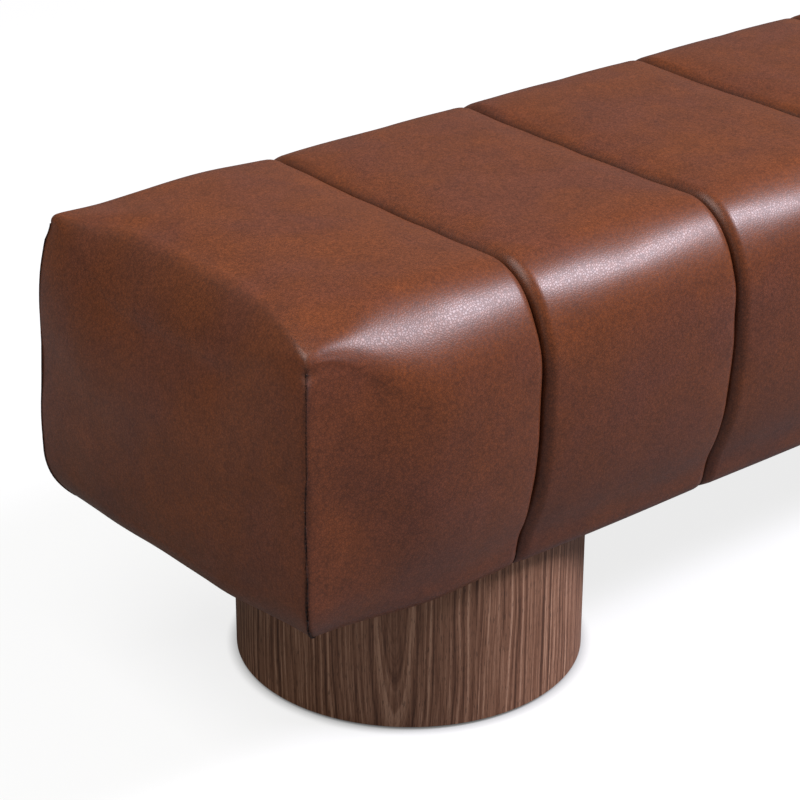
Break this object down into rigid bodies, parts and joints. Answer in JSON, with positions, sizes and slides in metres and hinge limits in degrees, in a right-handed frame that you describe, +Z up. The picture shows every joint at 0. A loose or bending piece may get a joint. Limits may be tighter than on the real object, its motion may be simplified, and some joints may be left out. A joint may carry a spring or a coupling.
{
  "type": "ottoman bench",
  "caption": "Long upholstered bench in channel-stitched leather with pinched corners, on two low round wood drums.",
  "frame": {"origin": "on the floor, under the middle of the seat", "axes": "+X along the bench towards its right end, +Y from front to back, +Z up"},
  "size_m": [1.4572, 0.443, 0.4637],
  "materials": {
    "leather": "satin",
    "wadding": "matte",
    "foam": "matte",
    "webbing": "matte",
    "dust_cloth": "matte",
    "felt": "matte",
    "walnut_veneer": "satin",
    "plywood": "matte",
    "softwood": "matte",
    "zinc_steel": "satin"
  },
  "bodies": {
    "root": {"leather_cover_1": "leather", "leather_cover_2": "leather", "leather_cover_3": "leather", "leather_cover_4": "leather", "leather_cover_5": "leather", "leather_cover_6": "leather", "wadding_1": "wadding", "wadding_2": "wadding", "wadding_3": "wadding", "wadding_4": "wadding", "wadding_5": "wadding", "wadding_6": "wadding", "foam_top_1": "foam", "foam_top_2": "foam", "foam_top_3": "foam", "foam_top_4": "foam", "foam_top_5": "foam", "foam_top_6": "foam", "foam_walls_1": "foam", "foam_walls_2": "foam", "foam_walls_3": "foam", "foam_walls_4": "foam", "foam_walls_5": "foam", "foam_walls_6": "foam", "seam_ties": "webbing", "deck_board": "plywood", "front_panel": "plywood", "back_panel": "plywood", "left_end_panel": "plywood", "right_end_panel": "plywood", "rib_1": "plywood", "rib_2": "plywood", "rib_3": "plywood", "rib_4": "plywood", "rib_5": "plywood", "front_batten": "softwood", "back_batten": "softwood", "end_battens": "softwood", "left_leg_board": "plywood", "right_leg_board": "plywood", "corner_blocks": "softwood", "frame_screws": "zinc_steel", "deck_screws": "zinc_steel", "dust_cover": "dust_cloth", "dust_cover_staples": "zinc_steel", "left_drum_veneer": "walnut_veneer", "right_drum_veneer": "walnut_veneer", "left_drum_shell": "plywood", "right_drum_shell": "plywood", "left_drum_top": "plywood", "right_drum_top": "plywood", "left_drum_bottom": "plywood", "right_drum_bottom": "plywood", "drum_posts": "softwood", "left_felt_pads": "felt", "right_felt_pads": "felt", "drum_bolts": "zinc_steel", "bolt_washers": "zinc_steel", "tee_nuts": "zinc_steel"}
  },
  "joints": []
}
